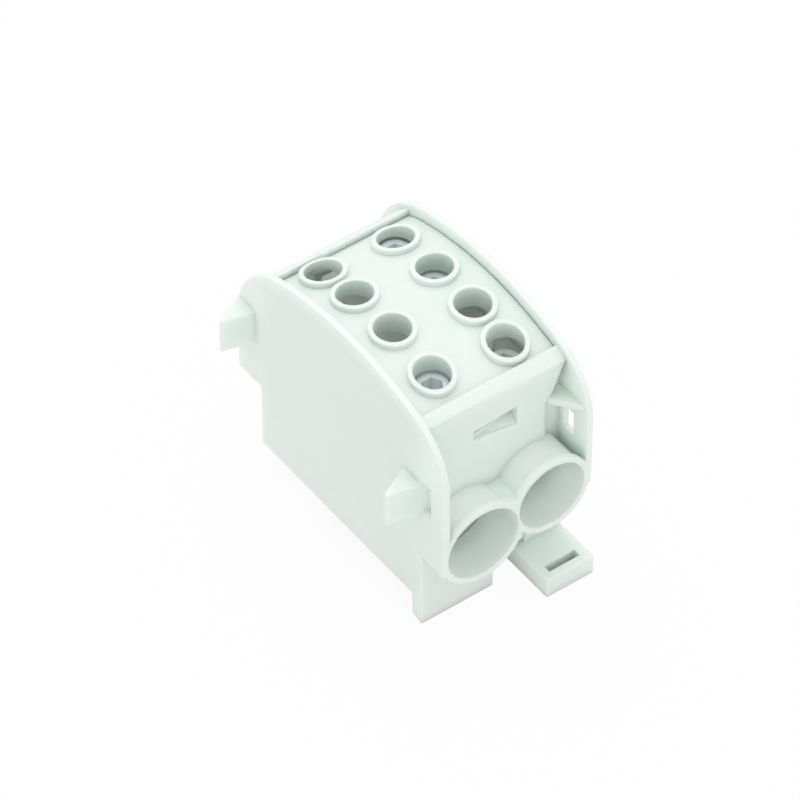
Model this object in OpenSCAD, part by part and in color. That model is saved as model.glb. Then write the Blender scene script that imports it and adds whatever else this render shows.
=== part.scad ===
// Power distribution block for a 35 mm mounting rail: four conductor entries, eight clamp screws,
// one solid terminal block inside a moulded housing with a sunk top cover and a sliding rail latch.
// X runs across the block, Y from the front entries (-) to the rear entries (+), Z up from the feet.

/* [View] */

/* [Housing] */
// Width over both side walls
width = 35;  // [35:0.2:36]
// Length over the side flanges
length = 66.8;  // [66:0.4:70]
// Front face of the body, measured from the middle
body_front = 26.4;  // [26.2:0.1:27]
// Rear face of the body, measured from the middle
body_rear = 26;  // [26:0.1:27]
// Side wall thickness
wall = 1.4;  // [1.2:0.1:1.6]
// Height of the underside that rests on the rail
base_z = 6.2;  // [6:0.1:6.6]
// Height of the left front flange underside
left_flange_z = 19;  // [17:0.5:20]
// Height of the right front flange underside
right_flange_z = 24;  // [23:0.5:25]
// Height of the rear flange underside
rear_flange_z = 21.8;  // [21:0.2:23]
// Highest point of the arched walls
top_z = 58.7;  // [58.4:0.1:60]
// Radius of the long arch
arch_r = 70;  // [68:1:75]
// How far the arch centre sits towards the front
arch_shift = 1.5;  // [0:0.5:2]
// Radius that turns the arch into the front edge
front_corner_r = 14.5;  // [12:0.5:18]
// Radius that turns the arch into the rear edge
rear_corner_r = 19;  // [16:0.5:20]

/* [Cover] */
// How far the cover surface sits below the side walls
cover_sunk = 2.5;  // [2.2:0.1:2.8]
// How far the end rims sit below the side walls
rim_sunk = 1.2;  // [1:0.1:1.4]
// How far the collar tops sit below the side walls
collar_sunk = 1.15;  // [1:0.05:1.4]
// Cover plate thickness
cover_t = 2;  // [1.8:0.1:2.2]
// Gap between the cover and the walls around it
cover_gap = 0.12;  // [0.08:0.01:0.2]
// Radius of the screw access holes
access_r = 3.7;  // [3.4:0.1:3.8]
// Wall of the raised collars
collar_wall = 1.05;  // [0.9:0.05:1.2]

/* [Conductor entries] */
// Distance of the conductor lines from the outer side faces
row_in = 9.4;  // [9.3:0.05:9.5]
// Inner radius of the large entry
large_entry_r = 8.25;  // [8:0.05:8.3]
// Inner radius of the small entry
small_entry_r = 7.7;  // [7.4:0.1:7.9]
// Wall of the entry tubes
entry_wall = 0.7;  // [0.65:0.05:0.8]
// Width of the lip around each entry
lip_w = 1.3;  // [1.1:0.1:1.5]
// Depth of the lip
lip_l = 1.5;  // [1.2:0.1:1.8]
// Height of the large conductor axis
large_z = 22.9;  // [22.6:0.1:23.4]
// Height of the small conductor axis
small_z = 25.9;  // [25.4:0.1:26.2]

/* [Terminal block] */
// Gap between the block and each side wall
block_gap = 0.8;  // [0.8:0.1:1.1]
// Half length of the block
block_half_y = 23.2;  // [23:0.1:23.2]
// Height of the block underside
block_z = 13.3;  // [13:0.1:13.6]
// Depth of the block top below the highest point of the walls
block_depth = 13.7;  // [13.2:0.5:14.7]
// Bore radius for the large conductors
large_bore_r = 6.4;  // [6:0.1:6.6]
// Bore radius for the small conductors
small_bore_r = 5.8;  // [5.4:0.1:5.9]

/* [Clamp screws] */
// Outer radius of the screws
screw_r = 3.96;  // [3.9:0.02:3.96]
// Screw length
screw_l = 13.6;  // [13:0.2:13.8]
// Hexagon socket across flats
socket_af = 4;  // [3.9:0.1:4.1]
// Socket depth
socket_depth = 4.5;  // [4:0.5:5]

/* [Rail latch] */
// Latch plate width
latch_w = 11.4;  // [11:0.1:11.5]
// Latch plate thickness
latch_t = 4.8;  // [4.5:0.1:4.8]
// Front end of the latch, measured from the middle
latch_front = 35.3;  // [35:0.1:36]
// Rear tip of the latch under the rail edge
latch_tip = 20.7;  // [20.5:0.1:21]
// Sliding gap around the latch bar
latch_gap = 0.1;  // [0.08:0.01:0.12]

/* [Side hooks] */
// How far the hooks stand out from the left wall
hook_out = 7;  // [6:0.5:7.5]
// Hook length along the wall
hook_base = 5.8;  // [5.4:0.1:5.9]
// Hook height
hook_h = 8.2;  // [8:0.1:8.4]

/* [Hidden] */
$fn = 96;
seat = 0.5;
half_x = width / 2;
half_y = length / 2;
inner_x = half_x - wall;
arch_z = top_z - arch_r;
row_x = half_x - row_in;
block_half_x = inner_x - block_gap;
block_top_z = top_z - block_depth;
cavity_x = block_half_x + 0.2;
cavity_y = block_half_y + 0.2;
cover_half = cavity_y;
access_z = top_z - 6.4;
access_rear_z = access_z - 1.1;
collar_r = access_r + collar_wall;
relief_r = screw_r + 0.4;
screw_hole_r = screw_r + 0.04;
screw_tip_r = 2.6;
screw_tip_h = 1.4;
screw_edge = 0.65;
sleeve_end = 2;
leg_back = 23.3;
leg_right = -0.4;
leg_tip = 0.6;
leg_tip_z = 0.9;
rail_front = 22.7;
rail_rear = 12.3;
rail_t = 1.4;
rail_gap = 0.2;
rail_lip = 1.8;
rail_stem = 3.6;
rail_hook_x = 13.4;
rail_tip = 1.2;
rail_tip_z = 1;
channel_z = base_z + 2.2;
channel_h = 2.8;
channel_x0 = 6.9;
channel_x1 = 15.9;
channel_end = -6;
ledge = 1.6;
latch_x1 = half_x - 0.2;
latch_x0 = latch_x1 - latch_w;
front_hook_y = -26.3;
front_hook_z = 30.9;
rear_hook_y = 27.4;
rear_hook_z = 33.2;
window_y = -29.1;
window_w = 3;
cell_x = 12.4;
cell_depth = 1.7;
cell_top = 52.4;
rib_z = 42.8;
rib_t = 1.5;
rib_reach = 5.6;
web_x = 4.5;
large_web_h = 6.7;
small_web_h = 4.6;
slot_x0 = -5.6;
slot_x1 = 4.7;
slot_low = 42.1;
slot_top = 46.7;
slot_depth = 2.3;
core_w = 5.7;
core_step = 6.9;
core_x = -15;
shelf_z = 15.5;
shelf_y = -24.6;
hollow_h = 5;

// Screw stations: side, place along the row, rest depth of the screw top below the access tubes
stations = [
    [-1, 18, 5.7],
    [-1, 7.8, 6.3],
    [-1, -4.3, 5.9],
    [-1, -16.8, 0.3],
    [1, 16.8, 1.3],
    [1, 4.3, 0.2],
    [1, -7.8, 5.3],
    [1, -18, 2.7]
];

// Puts the middle of the overall box over the origin
module placed() {
    translate([hook_out / 2, (latch_front - half_y) / 2, 0])
        children();
}

// Block between two corners
module box(x0, x1, y0, y1, z0, z1) {
    translate([x0, y0, z0])
        cube([x1 - x0, y1 - y0, z1 - z0]);
}

// Turns a length-height outline into a slab between two planes across the block
module slab(x0, x1) {
    translate([x0, 0, 0])
        rotate([90, 0, 90])
            linear_extrude(x1 - x0)
                children();
}

// Cylinder along the length
module along(x, z, r, y0, y1) {
    translate([x, y1, z])
        rotate([90, 0, 0])
            cylinder(r = r, h = y1 - y0);
}

// Everything below the arch, lowered by drop, cut to a window
module arch_outline(drop, y0, y1, floor_z) {
    big = arch_r - drop;
    ff = front_corner_r - drop;
    rr = rear_corner_r - drop;
    fy = half_y - front_corner_r;
    ry = half_y - rear_corner_r;
    fz = sqrt(pow(big - ff, 2) - pow(fy - arch_shift, 2));
    rz = sqrt(pow(big - rr, 2) - pow(ry + arch_shift, 2));
    ft = arch_shift + (fy - arch_shift) * big / (big - ff);
    rt = (ry + arch_shift) * big / (big - rr) - arch_shift;
    intersection() {
        translate([y0, floor_z])
            square([y1 - y0, top_z - floor_z + 1]);
        union() {
            intersection() {
                translate([-arch_shift, arch_z])
                    circle(r = big);
                translate([-ft, floor_z])
                    square([ft + rt, top_z - floor_z + 1]);
            }
            translate([-fy, arch_z + fz])
                circle(r = ff);
            translate([ry, arch_z + rz])
                circle(r = rr);
            translate([-half_y + drop, floor_z])
                square([half_y - drop - fy, arch_z + fz - floor_z]);
            translate([ry, floor_z])
                square([half_y - drop - ry, arch_z + rz - floor_z]);
        }
    }
}

// Outline of one side wall, without openings; its front flange ends at flange_z
module wall_outline(flange_z) {
    difference() {
        union() {
            arch_outline(0, -half_y, half_y, rear_flange_z);
            translate([-half_y, base_z])
                square([half_y + body_rear, rear_flange_z - base_z + 0.5]);
        }
        translate([-half_y - 1, base_z - 1])
            square([half_y + 1 - body_front, flange_z - base_z + 1]);
    }
}

// Wedge hook on the left wall, its nose leaning towards the rear
module side_hook(y, z) {
    translate([0, y, z])
        linear_extrude(hook_h)
            polygon([
                [-half_x + seat, 0],
                [-half_x, 0],
                [-half_x - hook_out, 1.6],
                [-half_x - hook_out, 2.3],
                [-half_x, hook_base],
                [-half_x + seat, hook_base]
            ]);
}

// Puts the same shape at the front end and, turned by half a turn, at the rear end
module both_ends() {
    for (turn = [0, 180])
        rotate([0, 0, turn])
            children();
}

// Face outline, seen from the front, driven from a face into the body by depth
module face_cut(face, depth) {
    translate([0, depth - face, 0])
        rotate([90, 0, 0])
            linear_extrude(depth + 1)
                children();
}

// Recessed corner of the body next to the right flange, running out in a point at the top and
// open to the inside above the terminal block
module corner_cell(face) {
    face_cut(face, face - cavity_y + 0.5)
        polygon([
            [cell_x + 0.9, block_top_z + 0.3],
            [inner_x, block_top_z + 0.3],
            [inner_x, block_top_z + 5.6]
        ]);
    intersection() {
        translate([0, -face, right_flange_z])
            linear_extrude(top_z)
                polygon([
                    [cell_x - 1.6, -0.5],
                    [cell_x - 1.6, 0],
                    [cell_x - 0.7, 0.35],
                    [cell_x - 0.2, 0.9],
                    [cell_x, cell_depth],
                    [inner_x, cell_depth],
                    [inner_x, -0.5]
                ]);
        face_cut(face, cell_depth + 1)
            polygon([
                [cell_x - 1.6, right_flange_z],
                [inner_x, right_flange_z],
                [inner_x, cell_top],
                [cell_x + 0.5, block_top_z],
                [cell_x - 1.6, rib_z]
            ]);
    }
}

// Stiffening rib across the corner cell, from the body corner out to the flange
module corner_rib(face) {
    translate([0, -face, rib_z])
        linear_extrude(rib_t)
            polygon([
                [cell_x - 0.5, cell_depth + seat],
                [cell_x - 0.5, 0],
                [inner_x, -rib_reach],
                [inner_x + seat, -rib_reach],
                [inner_x + seat, cell_depth + seat]
            ]);
}

// Front entries: thin tubes behind a thicker lip, webs between them and beside the right one
module entry_shells() {
    back = -cavity_y - 0.5;
    lip_back = lip_l - half_y;
    intersection() {
        union() {
            along(-row_x, large_z, large_entry_r + entry_wall, -half_y, back);
            along(row_x, small_z, small_entry_r + entry_wall, -half_y, back);
            along(-row_x, large_z, large_entry_r + lip_w, -half_y, lip_back);
            along(row_x, small_z, small_entry_r + lip_w, -half_y, lip_back);
            box(-web_x, web_x, -half_y, back, large_z, large_z + large_web_h);
            box(row_x + web_x, inner_x + seat, -half_y, lip_back, small_z, small_z + small_web_h);
        }
        box(-half_x + 0.3, half_x - 0.3, -half_y, back, base_z, top_z);
    }
}

// Openings of the two front entries, through to the terminal block
module entry_bores() {
    along(-row_x, large_z, large_entry_r, -half_y - 1, 0.1 - cavity_y);
    along(row_x, small_z, small_entry_r, -half_y - 1, 0.1 - cavity_y);
}

// Solid body between the side walls, before it is hollowed
module body() {
    slab(-inner_x - seat, inner_x + seat)
        arch_outline(rim_sunk, -body_front, body_rear, base_z);
}

// Room for the sunk cover, down to the ledges it rests on
module cover_recess() {
    difference() {
        box(-inner_x, inner_x, -cover_half, cover_half, 45, top_z + 1);
        slab(-inner_x - 1, inner_x + 1)
            arch_outline(cover_sunk + cover_t, -cover_half - 1, cover_half + 1, 40);
    }
}

// Wedge slot in an end face, wider and deeper towards the right, with a sloping floor in front
module marker_recess(face) {
    face_cut(face, face - cavity_y + 0.5)
        polygon([
            [slot_x0 + 0.4, slot_low + 2.5],
            [slot_x1, slot_low + 1.5],
            [slot_x1, slot_top],
            [slot_x0 + 0.4, slot_top - 0.8]
        ]);
    intersection() {
        translate([0, -face, 0])
            linear_extrude(top_z)
                polygon([[slot_x0, -1], [slot_x0, 0.5], [slot_x1, slot_depth], [slot_x1, -1]]);
        face_cut(face, 4)
            polygon([
                [slot_x0, slot_low + 1.3],
                [slot_x1, slot_low],
                [slot_x1, slot_top],
                [slot_x0, slot_top - 0.8]
            ]);
        slab(slot_x0 - 1, slot_x1 + 1)
            polygon([
                [-face - 1, slot_low - 1.1],
                [-face + slot_depth + 0.1, slot_low + slot_depth],
                [-face + slot_depth + 0.1, slot_top + 1],
                [-face - 1, slot_top + 1]
            ]);
    }
}

// Guide of the rail latch: a wide channel above a narrower slot for its neck
module latch_channel() {
    box(channel_x0, channel_x1, shelf_y - 1, channel_end, channel_z, channel_z + channel_h);
    box(channel_x0 + ledge, channel_x1 - ledge, shelf_y - 1, -rail_front + 0.3, base_z - 1, channel_z + 1);
}

// Core-out pockets in the underside
module underside_pockets() {
    rear_y = rail_rear + rail_stem + 2.1;
    for (x = [core_x, core_x + core_step, core_x + 2 * core_step]) {
        box(x, x + core_w, -20.8, rail_rear - rail_lip, base_z - 1, base_z + hollow_h);
        box(x, x + core_w, rear_y, body_rear - 1.6, base_z - 1, base_z + hollow_h);
    }
    box(channel_x0, -core_x, channel_end + 1.4, rail_rear - rail_lip, base_z - 1, base_z + hollow_h);
    box(channel_x0, -core_x, rear_y, body_rear - 1.6, base_z - 1, base_z + hollow_h);
}

// Front leg with a tapered foot
module front_leg() {
    slab(-half_x, leg_right)
        polygon([
            [-body_front, 0],
            [-body_front + leg_tip, 0],
            [-leg_back, leg_tip_z],
            [-leg_back, base_z + 1],
            [-body_front, base_z + 1]
        ]);
}

// Fixed hook that takes the rear edge of the rail
module rail_hook() {
    slab(-rail_hook_x, rail_hook_x)
        polygon([
            [rail_rear + rail_gap, base_z + 1],
            [rail_rear + rail_gap, base_z - rail_t],
            [rail_rear - rail_lip, base_z - rail_t],
            [rail_rear - rail_lip, rail_tip_z],
            [rail_rear - rail_lip + rail_tip, 0],
            [rail_rear + rail_stem, 0],
            [rail_rear + rail_stem, base_z + 1]
        ]);
}

module housing() {
    color("lightgray")
    placed()
    difference() {
        union() {
            difference() {
                union() {
                    slab(-half_x, -inner_x)
                        wall_outline(left_flange_z);
                    slab(inner_x, half_x)
                        wall_outline(right_flange_z);
                    body();
                }
                corner_cell(body_front);
                rotate([0, 0, 180])
                    corner_cell(body_rear);
            }
            both_ends()
                entry_shells();
            corner_rib(body_front);
            rotate([0, 0, 180])
                corner_rib(body_rear);
            front_leg();
            rail_hook();
            side_hook(front_hook_y, front_hook_z);
            side_hook(rear_hook_y, rear_hook_z);
        }
        cover_recess();
        box(-cavity_x, cavity_x, -cavity_y, cavity_y, block_z, top_z);
        both_ends()
            entry_bores();
        marker_recess(body_front);
        rotate([0, 0, 180])
            marker_recess(body_rear);
        latch_channel();
        underside_pockets();
        box(leg_right, half_x + 1, -body_front - 1, shelf_y, base_z - 1, shelf_z);
        box(-half_x - 1, -inner_x, window_y, front_hook_y, front_hook_z + 0.4, front_hook_z + hook_h + 0.8);
        box(inner_x, half_x + 1, window_y, window_y + window_w, front_hook_z + 3, front_hook_z + hook_h + 0.7);
        box(inner_x, half_x + 1, rear_hook_y - 0.4, half_y + 1, rear_hook_z - 0.4, rear_hook_z + hook_h + 0.4);
    }
}

module top_cover() {
    side_x = inner_x - cover_gap;
    end_y = cover_half - cover_gap;
    color("whitesmoke")
    placed()
    difference() {
        union() {
            slab(-side_x, side_x)
                difference() {
                    arch_outline(cover_sunk, -end_y, end_y, 40);
                    arch_outline(cover_sunk + cover_t, -end_y - 1, end_y + 1, 39);
                }
            intersection() {
                for (s = stations)
                    translate([s[0] * row_x, s[1], s[1] > 12 ? access_rear_z : access_z])
                        cylinder(r = collar_r, h = 10);
                slab(-side_x, side_x)
                    arch_outline(collar_sunk, -end_y, end_y, 40);
            }
        }
        for (s = stations) {
            z = s[1] > 12 ? access_rear_z : access_z;
            translate([s[0] * row_x, s[1], 40])
                cylinder(r = access_r, h = 30);
            translate([s[0] * row_x, s[1], 40])
                cylinder(r = relief_r, h = z - 40);
        }
    }
}

module terminal_block() {
    color("silver")
    placed()
    difference() {
        box(-block_half_x, block_half_x, -block_half_y, block_half_y, block_z, block_top_z);
        for (dir = [-1, 1]) {
            along(dir * row_x, large_z, large_bore_r,
                min(dir * (block_half_y + 1), dir * -0.4), max(dir * (block_half_y + 1), dir * -0.4));
            along(-dir * row_x, small_z, small_bore_r,
                min(dir * (block_half_y + 1), dir * sleeve_end), max(dir * (block_half_y + 1), dir * sleeve_end));
        }
        for (s = stations)
            translate([s[0] * row_x, s[1], small_z])
                cylinder(r = screw_hole_r, h = block_top_z);
    }
}

module rail_latch() {
    color("lightgray")
    placed()
    difference() {
        union() {
            slab(latch_x0, latch_x1)
                polygon([
                    [-latch_front, 0],
                    [-latch_tip - 1.6, 0],
                    [-latch_tip, 1.6],
                    [-latch_tip, latch_t],
                    [-latch_front, latch_t]
                ]);
            box(channel_x0 + ledge + latch_gap, channel_x1 - ledge - latch_gap,
                shelf_y, -rail_front - 0.4, latch_t - seat, channel_z + 1);
            box(channel_x0 + latch_gap, channel_x1 - latch_gap,
                shelf_y, channel_end - 6, channel_z + latch_gap, channel_z + channel_h - latch_gap);
        }
        box(latch_x0 + 2, latch_x1 - 2.2, -latch_front + 1.9, -latch_front + 3.5, -1, latch_t + 1);
    }
}

// Set screw with a hexagon socket, standing at station i
module clamp_screw(i) {
    s = stations[i];
    color("gainsboro")
    placed()
    translate([s[0] * row_x, s[1], access_z - s[2] - screw_l])
        difference() {
            rotate_extrude()
                polygon([
                    [0, 0],
                    [screw_tip_r, 0],
                    [screw_r, screw_tip_h],
                    [screw_r, screw_l - screw_edge],
                    [screw_r - screw_edge, screw_l],
                    [0, screw_l]
                ]);
            translate([0, 0, screw_l - socket_depth])
                cylinder(d = socket_af / cos(30), h = socket_depth + 1, $fn = 6);
        }
}

housing();
top_cover();
terminal_block();
rail_latch();
clamp_screw(0);  // clamp_screw_a
clamp_screw(1);  // clamp_screw_b
clamp_screw(2);  // clamp_screw_c
clamp_screw(3);  // clamp_screw_d
clamp_screw(4);  // clamp_screw_e
clamp_screw(5);  // clamp_screw_f
clamp_screw(6);  // clamp_screw_g
clamp_screw(7);  // clamp_screw_h
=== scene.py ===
import math

import bmesh
import bpy
from mathutils import Matrix, Vector


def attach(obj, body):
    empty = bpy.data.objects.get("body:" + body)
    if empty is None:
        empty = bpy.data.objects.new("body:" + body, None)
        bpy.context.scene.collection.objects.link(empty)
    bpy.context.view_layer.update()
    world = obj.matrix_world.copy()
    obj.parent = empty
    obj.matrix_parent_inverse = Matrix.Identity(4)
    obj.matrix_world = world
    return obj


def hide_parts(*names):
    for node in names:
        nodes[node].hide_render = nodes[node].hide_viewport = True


mm = 0.001
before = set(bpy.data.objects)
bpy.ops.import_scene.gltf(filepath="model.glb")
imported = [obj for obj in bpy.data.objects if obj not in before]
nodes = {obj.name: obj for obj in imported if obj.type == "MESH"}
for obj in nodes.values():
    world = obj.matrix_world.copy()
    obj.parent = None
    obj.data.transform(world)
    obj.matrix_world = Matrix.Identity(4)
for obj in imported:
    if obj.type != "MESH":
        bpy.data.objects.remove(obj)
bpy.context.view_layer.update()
print("frame loaded:", len(nodes), "nodes")


# shader maths

class Wire:
    # one output of a shader node, with Python's operators on it
    def __init__(self, graph, socket):
        self.graph = graph
        self.socket = socket

    def math(self, operation, first, second):
        return self.graph.node("ShaderNodeMath", {"operation": operation}, first, second)

    def __add__(self, other):
        return self.math("ADD", self, other)

    def __radd__(self, other):
        return self.math("ADD", other, self)

    def __sub__(self, other):
        return self.math("SUBTRACT", self, other)

    def __rsub__(self, other):
        return self.math("SUBTRACT", other, self)

    def __mul__(self, other):
        return self.math("MULTIPLY", self, other)

    def __rmul__(self, other):
        return self.math("MULTIPLY", other, self)

    def __pow__(self, other):
        return self.math("POWER", self, other)


class Graph:
    # the nodes of one material
    def __init__(self, name):
        self.material = bpy.data.materials.new(name)
        self.material.use_nodes = True
        self.tree = self.material.node_tree
        self.shader = self.tree.nodes["Principled BSDF"]

    def node(self, kind, settings, *values, out=0, **named):
        made = self.tree.nodes.new(kind)
        for key, value in settings.items():
            if key == "stops":
                self.stops(made.color_ramp, value)
            else:
                setattr(made, key, value)
        for place, value in enumerate(values):
            self.feed(made.inputs[place], value)
        for name, value in named.items():
            self.feed(made.inputs[name], value)
        return Wire(self, made.outputs[out])

    def stops(self, ramp, stops):
        while len(ramp.elements) < len(stops):
            ramp.elements.new(1)
        for element, (place, level) in zip(ramp.elements, stops):
            element.position = place
            element.color = (level, level, level, 1)

    def feed(self, socket, value):
        if isinstance(value, Wire):
            self.tree.links.new(value.socket, socket)
        else:
            socket.default_value = value

    def set(self, **values):
        for name, value in values.items():
            self.feed(self.shader.inputs[name.replace("_", " ")], value)

    def place(self):
        return self.node("ShaderNodeTexCoord", {}, out=3)

    def noise(self, scale, detail=2.0, rough=0.5, where=None):
        return self.node("ShaderNodeTexNoise", {}, where or self.place(),
                         Scale=scale, Detail=detail, Roughness=rough)

    def ramp(self, value, stops):
        return self.node("ShaderNodeValToRGB", {"stops": stops}, value)

    def blend(self, factor, first, second):
        return self.node("ShaderNodeMix", {"data_type": "RGBA"}, factor, A=first, B=second, out=2)

    def closed(self, reach):
        # painted shade mask from ambient occlusion: 0 on open faces, up to 1 deep in a recess
        return 1 - self.node("ShaderNodeAmbientOcclusion", {"samples": 8}, Distance=reach * mm, out=1)

    def bump(self, height, strength, depth):
        return self.node("ShaderNodeBump", {}, Strength=strength, Distance=depth, Height=height)


def moulded(name, look):
    # satin plastic: slow colour drift, painted shade in recesses, a faint painted glow and a fine
    # spark-eroded grain
    graph = Graph(name)
    drift = graph.noise(look["driftScale"], 2.0)
    mottle = graph.noise(look["mottleScale"], 2.0)
    grain = graph.noise(look["grainScale"], 3.0, 0.6)
    waves = graph.noise(look["waveScale"], 1.0)
    closed = graph.closed(look["paintedShadeReach"])
    lying = graph.node("ShaderNodeSeparateXYZ", {}, graph.node("ShaderNodeTexCoord", {}, out=1), out=2) ** 2
    skin = graph.blend(graph.ramp(drift, look["driftStops"]), (*look["colour"], 1), (*look["drift"], 1))
    graph.set(
        # painted shade: recesses darken towards a grey-green, flat upward faces are spared
        Base_Color=graph.blend(closed * (1 - lying * look["flatSpared"]) * look["paintedShade"],
                               skin, (*look["paintedShadeColour"], 1)),
        # painted glow: a faint emission in the plastic's own colour lifts dark interiors
        Emission_Color=(*look["colour"], 1),
        Emission_Strength=look["paintedGlow"],
        Roughness=look["rough"] + (mottle - 0.5) * look["roughSpread"],
        Normal=graph.bump(grain * look["grain"] + waves * look["wave"], 1.0, look["grainDepth"] * mm),
        Subsurface_Weight=look["glow"],
        Subsurface_Scale=look["glowReach"] * mm,
        Subsurface_Radius=look["glowTint"],
        IOR=look["ior"])
    return graph.material


def platedMetal(name, look):
    # dull plating: broad patches, a fine grain, painted shade in sockets and bores and a faint painted glow
    graph = Graph(name)
    spread = graph.noise(look["patchScale"], 3.0)
    fine = graph.noise(look["fineScale"], 2.0)
    closed = graph.closed(look["paintedShadeReach"])
    plated = graph.blend(spread, (*look["colour"], 1), (*look["shade"], 1))
    graph.set(
        # painted shade: sockets and bores darken towards a near-black
        Base_Color=graph.blend(closed * look["paintedShade"], plated, (*look["paintedShadeColour"], 1)),
        Roughness=look["rough"] + (fine - 0.5) * look["roughSpread"],
        Normal=graph.bump(fine, look["grain"], look["grainDepth"] * mm),
        Metallic=look["metal"],
        # painted glow: a faint emission in the metal's own colour lifts deep holes
        Emission_Color=(*look["colour"], 1),
        Emission_Strength=look["paintedGlow"])
    return graph.material


# values of the light grey-green plastic of the housing, cover and latch, lengths in mm
plastic = {
    "colour": (0.82, 0.885, 0.845),
    "drift": (0.805, 0.88, 0.835),
    # painted shade in recesses: its colour, strength, reach and how far flat tops are spared
    "paintedShadeColour": (0.40, 0.52, 0.45),
    "paintedShade": 0.55,
    "paintedShadeReach": 2.2,
    "flatSpared": 0.7,
    # painted glow strength
    "paintedGlow": 0.02,
    "rough": 0.46,
    "roughSpread": 0.14,
    "driftStops": [(0.35, 0), (0.65, 1)],
    "driftScale": 45.0,
    "mottleScale": 900.0,
    "grainScale": 5200.0,
    "waveScale": 260.0,
    "grain": 0.25,
    "wave": 0.6,
    "grainDepth": 0.012,
    "glow": 0.7,
    "glowReach": 2.0,
    "glowTint": (1.0, 1.15, 1.0),
    "ior": 1.5,
}
# on the cover the painted shade reaches through the tool holes and leaves the flat top alone
coverPlastic = {
    "paintedShade": 0.5,
    "paintedShadeReach": 9.0,
    "flatSpared": 1.0,
    "paintedShadeColour": (0.30, 0.40, 0.36),
}
tinned = {
    "colour": (0.78, 0.80, 0.80),
    "shade": (0.70, 0.72, 0.72),
    # painted shade in the block's bores and counterbores: colour, strength and reach
    "paintedShadeColour": (0.30, 0.33, 0.32),
    "paintedShade": 0.6,
    "paintedShadeReach": 6.0,
    "metal": 0.35,
    # painted glow strength
    "paintedGlow": 0.07,
    "rough": 0.5,
    "roughSpread": 0.2,
    "patchScale": 120.0,
    "fineScale": 3000.0,
    "grain": 0.2,
    "grainDepth": 0.01,
}
steel = {
    "colour": (0.88, 0.93, 0.93),
    "shade": (0.80, 0.86, 0.86),
    # painted shade in the hex sockets: colour, strength and reach
    "paintedShadeColour": (0.10, 0.12, 0.12),
    "paintedShade": 0.85,
    "paintedShadeReach": 1.5,
    "metal": 0.25,
    # painted glow strength
    "paintedGlow": 0.04,
    "rough": 0.42,
    "roughSpread": 0.2,
    "patchScale": 400.0,
    "fineScale": 4000.0,
    "grain": 0.2,
    "grainDepth": 0.008,
}


# pieces and their rounding

# how every rounding is cut, lengths in mm and angles in degrees
rounding = {
    "merge": 0.01,
    "flat": 0.6,
    "outside": 24,
    "pinch": 50,
    "stub": 0.5,
    "shortest": 1.2,
    "room": 2.2,
    "inward": -20,
    "steep": 62,
    "shadingWeight": 100,
}


def outsideCorner(line):
    angle = line.calc_face_angle_signed() if len(line.link_faces) == 2 else 0
    return angle > math.radians(rounding["outside"])


def pinched(point):
    # a point where two rounded edges would run into each other
    rays = [(line.other_vert(point).co - point.co).normalized()
            for line in point.link_edges if outsideCorner(line)]
    gaps = [first.angle(second) for place, first in enumerate(rays) for second in rays[:place]]
    return len(rays) > 3 or min(gaps, default=math.pi) < math.radians(rounding["pinch"])


def roomy(line, piece):
    # both faces are wide enough for the rounding, and the line is not in an opening kept plain
    middle = (line.verts[0].co + line.verts[1].co) / 2
    for low, high in piece["plain"]:
        if all(low[axis] * mm < middle[axis] < high[axis] * mm for axis in range(3)):
            return False
    narrowest = rounding["room"] * piece["width"] * mm * line.calc_length()
    return all(face.calc_area() > narrowest for face in line.link_faces)


def addTab(work, low, high):
    size = Vector(high) - Vector(low)
    middle = (Vector(high) + Vector(low)) / 2
    place = Matrix.Translation(middle * mm) @ Matrix.Diagonal((*(size * mm), 1))
    bmesh.ops.create_cube(work, size=1.0, matrix=place)


def softened(node, piece):
    # the node's own shape with its outside edges rounded
    work = bmesh.new()
    work.from_mesh(nodes[node].data)
    bmesh.ops.remove_doubles(work, verts=work.verts, dist=rounding["merge"] * mm)
    bmesh.ops.dissolve_limit(work, angle_limit=math.radians(rounding["flat"]),
                             use_dissolve_boundaries=False, verts=work.verts, edges=work.edges)
    # a list in the mesh's own order, so that each run gives the same mesh
    tight = [point for point in work.verts if pinched(point)]
    for point in tight:
        for line in [e for e in point.link_edges
                     if outsideCorner(e) and e.calc_length() > rounding["shortest"] * mm]:
            bmesh.utils.edge_split(line, point, rounding["stub"] * mm / line.calc_length())
    lines = [line for line in work.edges if outsideCorner(line) and roomy(line, piece)
             and not any(point in tight for point in line.verts)]
    bmesh.ops.bevel(work, geom=lines, offset=piece["width"] * mm, offset_type="OFFSET",
                    affect="EDGES", segments=piece["segments"], profile=0.5, material=-1,
                    clamp_overlap=False)
    mesh = bpy.data.meshes.new(node + "_finished")
    work.to_mesh(mesh)
    work.free()
    # the tabs join a freshly read mesh, because the rounding leaves gaps that new faces fill in any order
    work = bmesh.new()
    work.from_mesh(mesh)
    for low, high in piece.get("tabs", []):
        addTab(work, low, high)
    inward, steep = math.radians(rounding["inward"]), math.radians(rounding["steep"])
    for line in work.edges:
        line.smooth = inward < line.calc_face_angle_signed(0) < steep
    work.to_mesh(mesh)
    work.free()
    for face in mesh.polygons:
        face.use_smooth = True
    made = bpy.data.objects.new(node + "_finished", mesh)
    bpy.context.scene.collection.objects.link(made)
    shading = made.modifiers.new("evenShading", "WEIGHTED_NORMAL")
    shading.weight = rounding["shadingWeight"]
    shading.keep_sharp = True
    return made


def fitted(piece, node, body, material):
    piece.data.materials.clear()
    piece.data.materials.append(material)
    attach(piece, body)
    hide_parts(node)


def dressed(node, material):
    data = nodes[node]
    for place in range(len(data.material_slots)):
        data.material_slots[place].material = material


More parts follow.
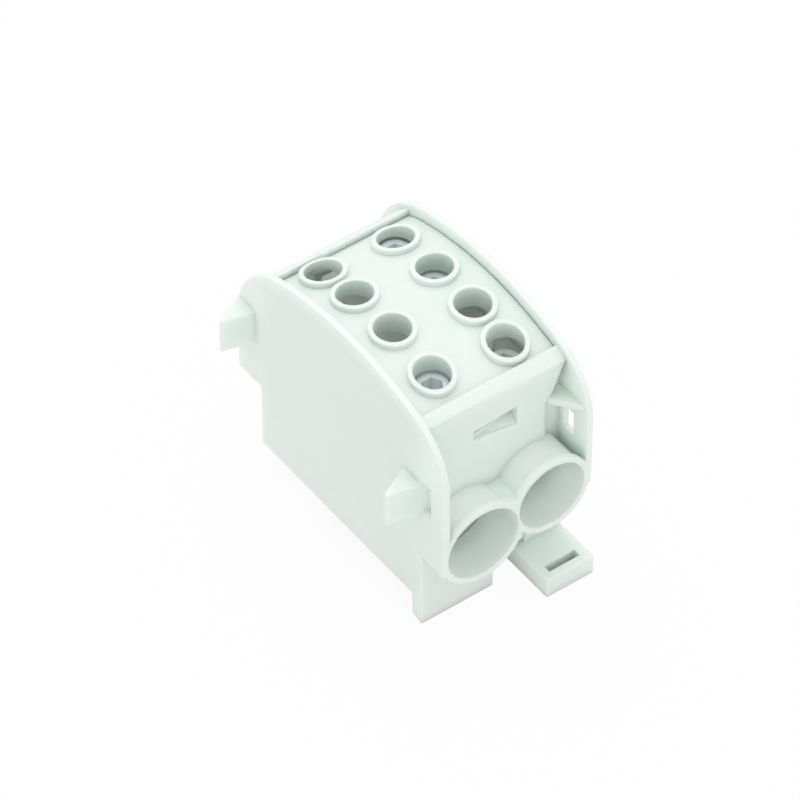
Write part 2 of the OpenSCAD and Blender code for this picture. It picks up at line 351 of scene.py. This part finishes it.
# boxes named plain hold the openings behind the marker recesses, whose edges stay sharp
housing = {
    "width": 0.16,
    "segments": 2,
    "plain": [((-3, -25.6, 43.5), (8.1, -22.0, 47.2)), ((-1.1, 23.9, 43.5), (10, 27.5, 47.2))],
}
shell = moulded("housingPlastic", plastic)
fitted(softened("housing", housing), "housing", "housing", shell)
print("housing done")

# the tabs stand behind the two marker recesses
cover = {
    "width": 0.2,
    "segments": 2,
    "plain": [],
    "tabs": [((-2.6, -22.43, 43.0), (9.6, -22.25, 51.0)), ((-2.6, 24.15, 43.0), (9.6, 24.33, 51.0))],
}
lid = moulded("coverPlastic", {**plastic, **coverPlastic})
fitted(softened("top_cover", cover), "top_cover", "housing", lid)
print("cover done")

latch = {"width": 0.25, "segments": 3, "plain": []}
bar = moulded("latchPlastic", plastic)
fitted(softened("rail_latch", latch), "rail_latch", "rail_latch", bar)
print("latch done")

block = {"width": 0.2, "segments": 2, "plain": []}
tin = platedMetal("tinnedBlock", tinned)
fitted(softened("terminal_block", block), "terminal_block", "housing", tin)
print("block done")

zinc = platedMetal("zincSteel", steel)
for node in nodes:
    if node.startswith("clamp_screw"):
        dressed(node, zinc)
print("screws done")


# stage, light and camera

floorLook = {"size": 3.0, "shadow": 0.08, "white": 0.9, "rough": 0.9}
lights = {
    "world": 0.93,
    "key": {"power": 3.4, "size": 1.2, "at": (0.15, 0.45, 1.4)},
}
view = {
    "from": (-453.6, -615.7, 828.4),
    "to": (10.2, 14.4, 13.7),
    "lens": 259.8,
    "sensor": 36,
    "clip": (0.05, 20),
}


def floor():
    mesh = bpy.data.meshes.new("floor")
    work = bmesh.new()
    bmesh.ops.create_grid(work, x_segments=1, y_segments=1, size=floorLook["size"])
    work.to_mesh(mesh)
    work.free()
    plane = bpy.data.objects.new("floor", mesh)
    bpy.context.scene.collection.objects.link(plane)
    graph = Graph("floorWhite")
    white = floorLook["white"]
    graph.set(Base_Color=(white, white, white, 1), Roughness=floorLook["rough"])
    glow = graph.node("ShaderNodeEmission", {}, (1, 1, 1, 1), 1.0)
    seen = graph.node("ShaderNodeLightPath", {}, out=0)
    mirrored = graph.node("ShaderNodeLightPath", {}, out=3)
    through = graph.node("ShaderNodeLightPath", {}, out=6)
    clear = graph.node("ShaderNodeMath", {"operation": "MAXIMUM"}, seen + mirrored, through)
    mixed = graph.node("ShaderNodeMixShader", {}, clear * (1 - floorLook["shadow"]),
                       Wire(graph, graph.shader.outputs[0]), glow)
    graph.tree.links.new(mixed.socket, graph.tree.nodes["Material Output"].inputs[0])
    mesh.materials.append(graph.material)


def lamp(name, spec):
    data = bpy.data.lights.new(name, "AREA")
    data.shape = "DISK"
    data.size = spec["size"]
    data.energy = spec["power"]
    made = bpy.data.objects.new(name, data)
    made.location = spec["at"]
    made.rotation_euler = (-Vector(spec["at"])).to_track_quat("-Z", "Y").to_euler()
    bpy.context.scene.collection.objects.link(made)


def sky():
    world = bpy.data.worlds.new("studio")
    world.use_nodes = True
    tree = world.node_tree
    tree.nodes["Background"].inputs[0].default_value = (1, 1, 1, 1)
    tree.nodes["Background"].inputs[1].default_value = lights["world"]
    bpy.context.scene.world = world


def camera():
    data = bpy.data.cameras.new("camera")
    data.sensor_width = view["sensor"]
    data.lens = view["lens"]
    data.clip_start, data.clip_end = view["clip"]
    made = bpy.data.objects.new("camera", data)
    place = Vector(view["from"]) * mm
    made.location = place
    made.rotation_euler = (Vector(view["to"]) * mm - place).to_track_quat("-Z", "Y").to_euler()
    bpy.context.scene.collection.objects.link(made)
    bpy.context.scene.camera = made


floor()
lamp("key", lights["key"])
sky()
camera()
bpy.context.scene.view_settings.view_transform = "Standard"
print("stage set")
